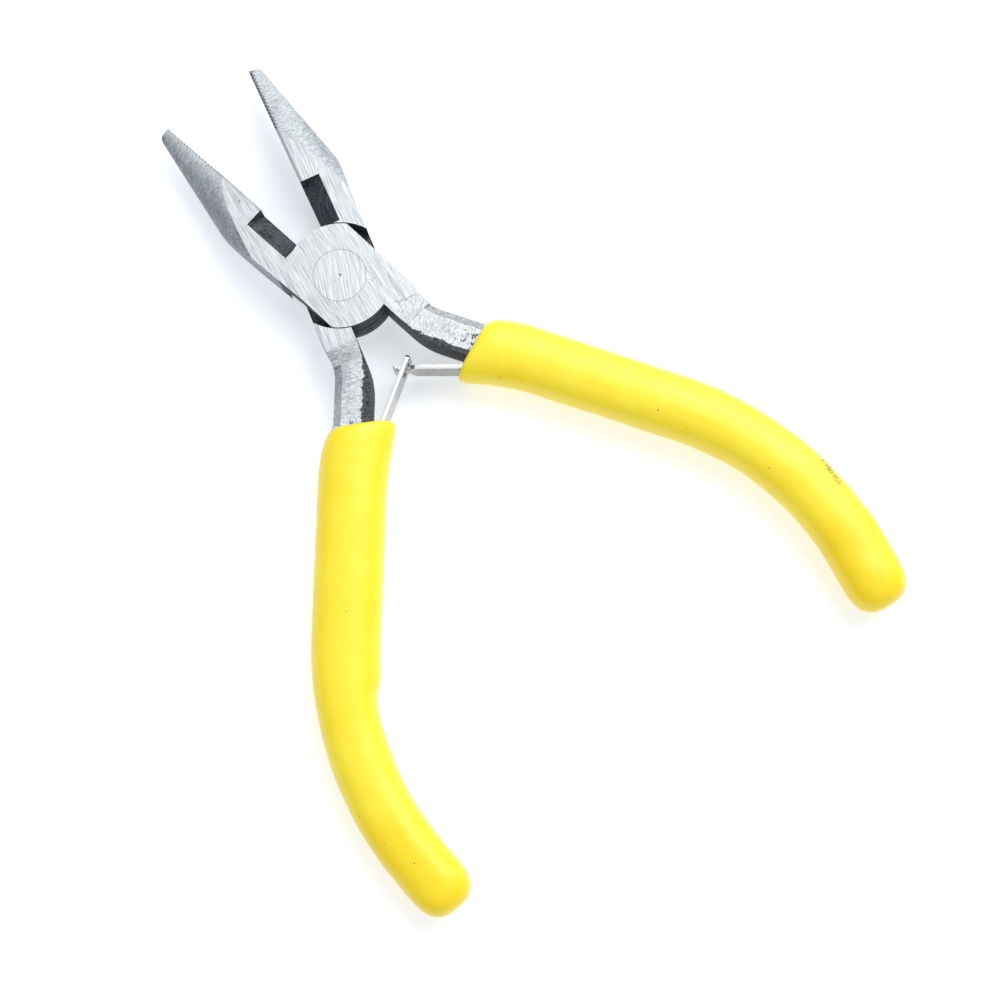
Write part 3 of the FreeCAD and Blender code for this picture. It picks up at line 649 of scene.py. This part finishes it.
def grip_tree():
    """Geometry Nodes tree that sweeps a dipped grip along the handle, with a hollow mouth."""
    tree = bpy.data.node_groups.new("dipped_grip", "GeometryNodeTree")
    for label in GRIP_SIZES:
        tree.interface.new_socket(label, in_out="INPUT", socket_type="NodeSocketFloat")
    tree.interface.new_socket("Vinyl", in_out="INPUT", socket_type="NodeSocketMaterial")
    tree.interface.new_socket("Grip", in_out="OUTPUT", socket_type="NodeSocketGeometry")
    net = Net(tree)
    entry = tree.nodes.new("NodeGroupInput")
    size = {output.name: Wire(net, output) for output in entry.outputs if output.name}

    wall_rows, rim_rows, body_rows, cap_rows, around = 10, 8, 150, 16, 72
    rows = wall_rows + rim_rows + body_rows + cap_rows
    grid = net.add("GeometryNodeMeshGrid", sockets={
        "Size X": 1.0, "Size Y": 1.0, "Vertices X": rows + 1, "Vertices Y": around + 1})
    u, v, _ = net.split(net.add("GeometryNodeInputPosition"))
    row = (u + 0.5) * rows
    angle = (v + 0.5) * (2 * math.pi)

    # along the profile: up the inner wall, over the rim, down the outside and round the cap
    floor_shrink = net.clamp(row)
    depth = size["Pocket Depth"] * (1 - net.clamp(row / wall_rows))
    rim = net.clamp((row - wall_rows) / rim_rows) * math.pi
    outward = (1 - net.math("COSINE", rim)) * 0.5
    body = net.clamp((row - wall_rows - rim_rows) / body_rows)
    cap = net.clamp((row - wall_rows - rim_rows - body_rows) / cap_rows) * (math.pi / 2)
    fullness = 0.74
    cap_along = net.math("SINE", cap) ** fullness
    cap_shrink = net.most(net.math("COSINE", cap), 0.0) ** fullness
    lip = size["Lip"]
    t = lip * (1 - net.math("SINE", rim)) + depth
    t = t + body * (size["Length"] - size["Cap Length"] - lip) + cap_along * size["Cap Length"]

    # outer section: thinner towards the tail, with a small step on the inner side
    tail_from, tail_to = 30.0, 44.0
    step_from, step_to = 36.0, 40.0
    outer_exponent = 2.25
    c, s = net.math("COSINE", angle), net.math("SINE", angle)
    is_outer = net.most(c, 0.0)
    near_mouth = net.clamp(1 - t / size["Flare Length"])
    tail = net.step(t, tail_from, tail_to)
    step = net.step(t, step_to, step_from)
    corner = net.clamp(1 - t / (size["Corner Round"] * (0.55 + is_outer * is_outer)))
    corner = 1 - net.math("SQRT", net.most(1 - corner * corner, 0.0))
    inset = corner * (0.5 + is_outer * is_outer * 1.3)
    outer_half = size["Outer Half"] - size["Tail Loss"] * tail * 0.5
    inner_half = size["Inner Half"] - size["Tail Loss"] * tail * 0.5 + size["Flare"] * near_mouth * near_mouth
    inner_half = inner_half + size["Step"] * step
    power = 2 / outer_exponent
    reach = net.math("ABSOLUTE", c) ** power
    rise = net.math("ABSOLUTE", s) ** power
    side = net.math("SIGN", c)
    half = outer_half * net.step(side, -0.5, 0.5) + inner_half * net.step(side, 0.5, -0.5)
    w_out = side * reach * (half - inset)
    h_out = net.math("SIGN", s) * rise * (size["Half Height"] - inset * 0.8 - tail * 0.15)

    # hollow that hugs the tang and leaves room for the leaf
    tang_exponent, pocket_exponent = 9, 4
    fit = 0.03
    square = 2 / tang_exponent + net.step(side, 0.5, -0.5) * (2 / pocket_exponent - 2 / tang_exponent)
    hollow_in = TANG_HALF_WIDTH - fit + size["Pocket Width"] * (1 - depth / size["Pocket Depth"] * 0.7)
    hollow = (TANG_HALF_WIDTH - fit) * net.step(side, -0.5, 0.5) + hollow_in * net.step(side, 0.5, -0.5)
    w_in = side * net.math("ABSOLUTE", c) ** square * hollow
    h_in = net.math("SIGN", s) * net.math("ABSOLUTE", s) ** square * (TANG_HALF_THICKNESS - fit)

    shrink = floor_shrink * cap_shrink
    w = (w_in + (w_out - w_in) * outward) * shrink
    h = (h_in + (h_out - h_in) * outward) * shrink

    slant = w * math.tan(math.radians(GRIP_MOUTH_SLANT)) * size["Mouth Slant"]
    along = t + net.clamp(1 - t / GRIP_SLANT_FADE) * (slant - GRIP_MOUTH_LIP)
    x, y, cos_h, sin_h = along_handle(net, along, w)
    place = net.join(x, y, h + MIDDLE)
    lumps = net.add("ShaderNodeTexNoise", {"noise_dimensions": "4D"},
                    {"Vector": place, "W": size["Seed"], "Scale": 0.16, "Detail": 2.0})
    swell = (lumps - 0.5) * size["Lump"] * outward * shrink
    x, y = x + swell * cos_h * c, y + swell * sin_h * c
    place = net.join(x, y, h + MIDDLE + swell * s)
    moved = net.add("GeometryNodeSetPosition", sockets={"Geometry": grid, "Position": place})
    merged = net.add("GeometryNodeMergeByDistance", sockets={"Geometry": moved, "Distance": 1e-4})
    smooth = net.add("GeometryNodeSetShadeSmooth", sockets={"Geometry": merged})
    real = net.add("GeometryNodeRealizeInstances", sockets={"Geometry": smooth})
    dressed = net.add("GeometryNodeSetMaterial", sockets={"Geometry": real, "Material": size["Vinyl"]})
    leave = tree.nodes.new("NodeGroupOutput")
    tree.links.new(dressed.socket, leave.inputs["Grip"])
    return tree


def build_grip(name, tree, upper, material, **sizes):
    mesh = bpy.data.meshes.new(name)
    mesh.from_pydata([(0, 0, 0)], [], [])
    piece = add_object(name, mesh)
    modifier = piece.modifiers.new("sweep", "NODES")
    modifier.node_group = tree
    values = dict(GRIP_SIZES)
    values.update({key.replace("_", " "): value for key, value in sizes.items()})
    for item in tree.interface.items_tree:
        if item.in_out == "INPUT":
            modifier[item.identifier] = material if item.name == "Vinyl" else values[item.name]
    settle(piece)
    piece.data.transform(rest_place(upper))
    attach(piece, "upper_lever" if upper else "lower_lever")
    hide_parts("right_grip" if upper else "left_grip")
    return piece


# ---------------------------------------------------------------- leaf springs

def leaf_route():
    """A leaf's bend, its blade's direction at rest and the length to the crossing, in the closed drawing."""
    splay = math.radians(HANDLE_SPLAY)
    bend, _ = handle_point(LEAF_BEND_AT, TANG_HALF_WIDTH + LEAF_TANG_GAP + LEAF_THICKNESS / 2)
    spread = math.radians(REST_TURN)
    rest_x = bend.x * math.cos(spread) - bend.y * math.sin(spread)
    rest_y = bend.x * math.sin(spread) + bend.y * math.cos(spread)
    length = math.hypot(rest_x, LEAF_CROSSING_Y - rest_y)
    lean = math.asin(rest_x / length) - spread
    ahead = Vector((-math.sin(lean), math.cos(lean), 0))
    return bend, ahead, length


def leaf_spring(name, upper, rows, corner):
    """One bent strip, its middle band reaching corner to each side.

    rows are (distance past the crossing, half width, has edges, has middle).
    """
    bend, ahead, length = leaf_route()
    face = TANG_HALF_WIDTH + LEAF_THICKNESS / 2
    centres = [handle_point(s, face)[0] for s in (34, 28, 22, 16, 11, 7.5, 6.2)]
    sweep = 5.2
    start = handle_point(sweep, face)[0]
    reach = 1.8
    for i in range(1, 12):
        t = i / 12
        centres.append(start * (1 - t) ** 2 + bend * 2 * t * (1 - t) + (bend + ahead * reach) * t * t)
    stations = [(point, LEAF_HALF_WIDTH, True, True) for point in centres]
    for along in (reach, 3.5, 5.5, 7.5, 9.5):
        stations.append((bend + ahead * along, LEAF_HALF_WIDTH, True, True))
    for past, half, edges, middle in rows:
        stations.append((bend + ahead * (length + past), half, edges, middle))
    mesh = bpy.data.meshes.new(name)
    shape = bmesh.new()
    grid = []
    for point, half, _, _ in stations:
        heights = (-half, -corner, corner, half)
        grid.append([shape.verts.new((point.x, point.y, MIDDLE + h)) for h in heights])
    for i, (_, _, edges, middle) in enumerate(stations[:-1]):
        for j in range(3):
            if middle if j == 1 else edges:
                a, b = grid[i], grid[i + 1]
                shape.faces.new((a[j], b[j], b[j + 1], a[j + 1]))
    loose = [vert for vert in shape.verts if not vert.link_faces]
    bmesh.ops.delete(shape, geom=loose, context="VERTS")
    bmesh.ops.recalc_face_normals(shape, faces=shape.faces)
    shape.to_mesh(mesh)
    shape.free()
    mesh.transform(rest_place(upper))
    piece = add_object(name, mesh, LEAF_STEEL)
    wall = piece.modifiers.new("thickness", "SOLIDIFY")
    wall.thickness = LEAF_THICKNESS * MM
    wall.offset = 0
    soft = piece.modifiers.new("edges", "BEVEL")
    soft.width = 0.06 * MM
    soft.segments = 2
    soft.limit_method = "ANGLE"
    soft.angle_limit = math.radians(40)
    settle(piece)
    for polygon in piece.data.polygons:
        polygon.use_smooth = True
    piece.data.set_sharp_from_angle(angle=math.radians(32))
    place = rest_place(upper)
    along_root = (start - bend).normalized()
    place @ (bend + along_root * 1.4 + Vector((0, 0, MIDDLE)))
    place @ (bend + ahead * 1.4 + Vector((0, 0, MIDDLE)))
    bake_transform(piece)
    side = "right" if upper else "left"
    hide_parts(side + "_leaf_root", side + "_leaf_blade")
    return piece


# ---------------------------------------------------------------- levers and rivets

def softened(node, name, body, material, width):
    """A CAD part's mesh, merged, with its edges rounded."""
    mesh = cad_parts[node].data.copy()
    mesh.name = name
    shape = bmesh.new()
    shape.from_mesh(mesh)
    bmesh.ops.remove_doubles(shape, verts=shape.verts, dist=1e-6)
    bmesh.ops.dissolve_limit(shape, angle_limit=math.radians(1.0), verts=shape.verts, edges=shape.edges)
    shape.to_mesh(mesh)
    shape.free()
    piece = add_object(name, mesh, material)
    soft = piece.modifiers.new("edges", "BEVEL")
    soft.width = width * MM
    soft.segments = 2
    soft.limit_method = "ANGLE"
    soft.angle_limit = math.radians(28)
    soft.use_clamp_overlap = True
    for polygon in mesh.polygons:
        polygon.use_smooth = True
    weigh = piece.modifiers.new("shading", "WEIGHTED_NORMAL")
    weigh.keep_sharp = True
    settle(piece)
    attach(piece, body)
    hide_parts(node)
    return piece


set_camera()
set_stage()
LEAF_STEEL = leaf_steel()
RIVET_STEEL = rivet_steel()
UPPER_STEEL = lever_steel("upper_forging", True, UPPER_GRIND)
LOWER_STEEL = lever_steel("lower_forging", False, LOWER_GRIND)

softened("upper_lever", "upper_forging", "upper_lever", UPPER_STEEL, 0.12)
softened("lower_lever", "lower_forging", "lower_lever", LOWER_STEEL, 0.12)
softened("pivot_rivet", "ground_rivet", "upper_lever", RIVET_STEEL, 0.05)
for node in ("right_leaf_rivet", "left_leaf_rivet"):
    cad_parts[node].data.materials.clear()
    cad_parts[node].data.materials.append(RIVET_STEEL)

sweep_tree = grip_tree()
RIGHT_VINYL = dipped_vinyl("right_vinyl", True, (((27.9, -69.9), (27.0, -73.4), 0.75, 0.95),))
LEFT_VINYL = dipped_vinyl("left_vinyl", False, ())
build_grip("right_dipped_grip", sweep_tree, True, RIGHT_VINYL, Seed=3.0, Outer_Half=4.95, Flare=2.1, Step=0.0)
build_grip("left_dipped_grip", sweep_tree, False, LEFT_VINYL, Seed=8.0, Flare=1.3)

leaf_spring("right_leaf_spring", True, [
    (-TONGUE_REACH - SHOULDER_LENGTH, LEAF_HALF_WIDTH, True, True),
    (-TONGUE_REACH, SHOULDER_HALF_WIDTH, False, True),
    (TONGUE_REACH, CROSS_BAR_HALF_LENGTH, True, True),
    (TONGUE_REACH + CROSS_BAR_WIDTH, CROSS_BAR_HALF_LENGTH, True, True)], TONGUE_HALF_WIDTH)
leaf_spring("left_leaf_spring", False, [
    (-SLOT_HALF_LENGTH, LEAF_HALF_WIDTH, True, False),
    (SLOT_HALF_LENGTH, LEAF_HALF_WIDTH, True, True),
    (SLOT_END - 0.4, LEAF_HALF_WIDTH, True, True),
    (SLOT_END, LEAF_HALF_WIDTH - 0.5, True, True)], TONGUE_HALF_WIDTH + SLOT_GAP)
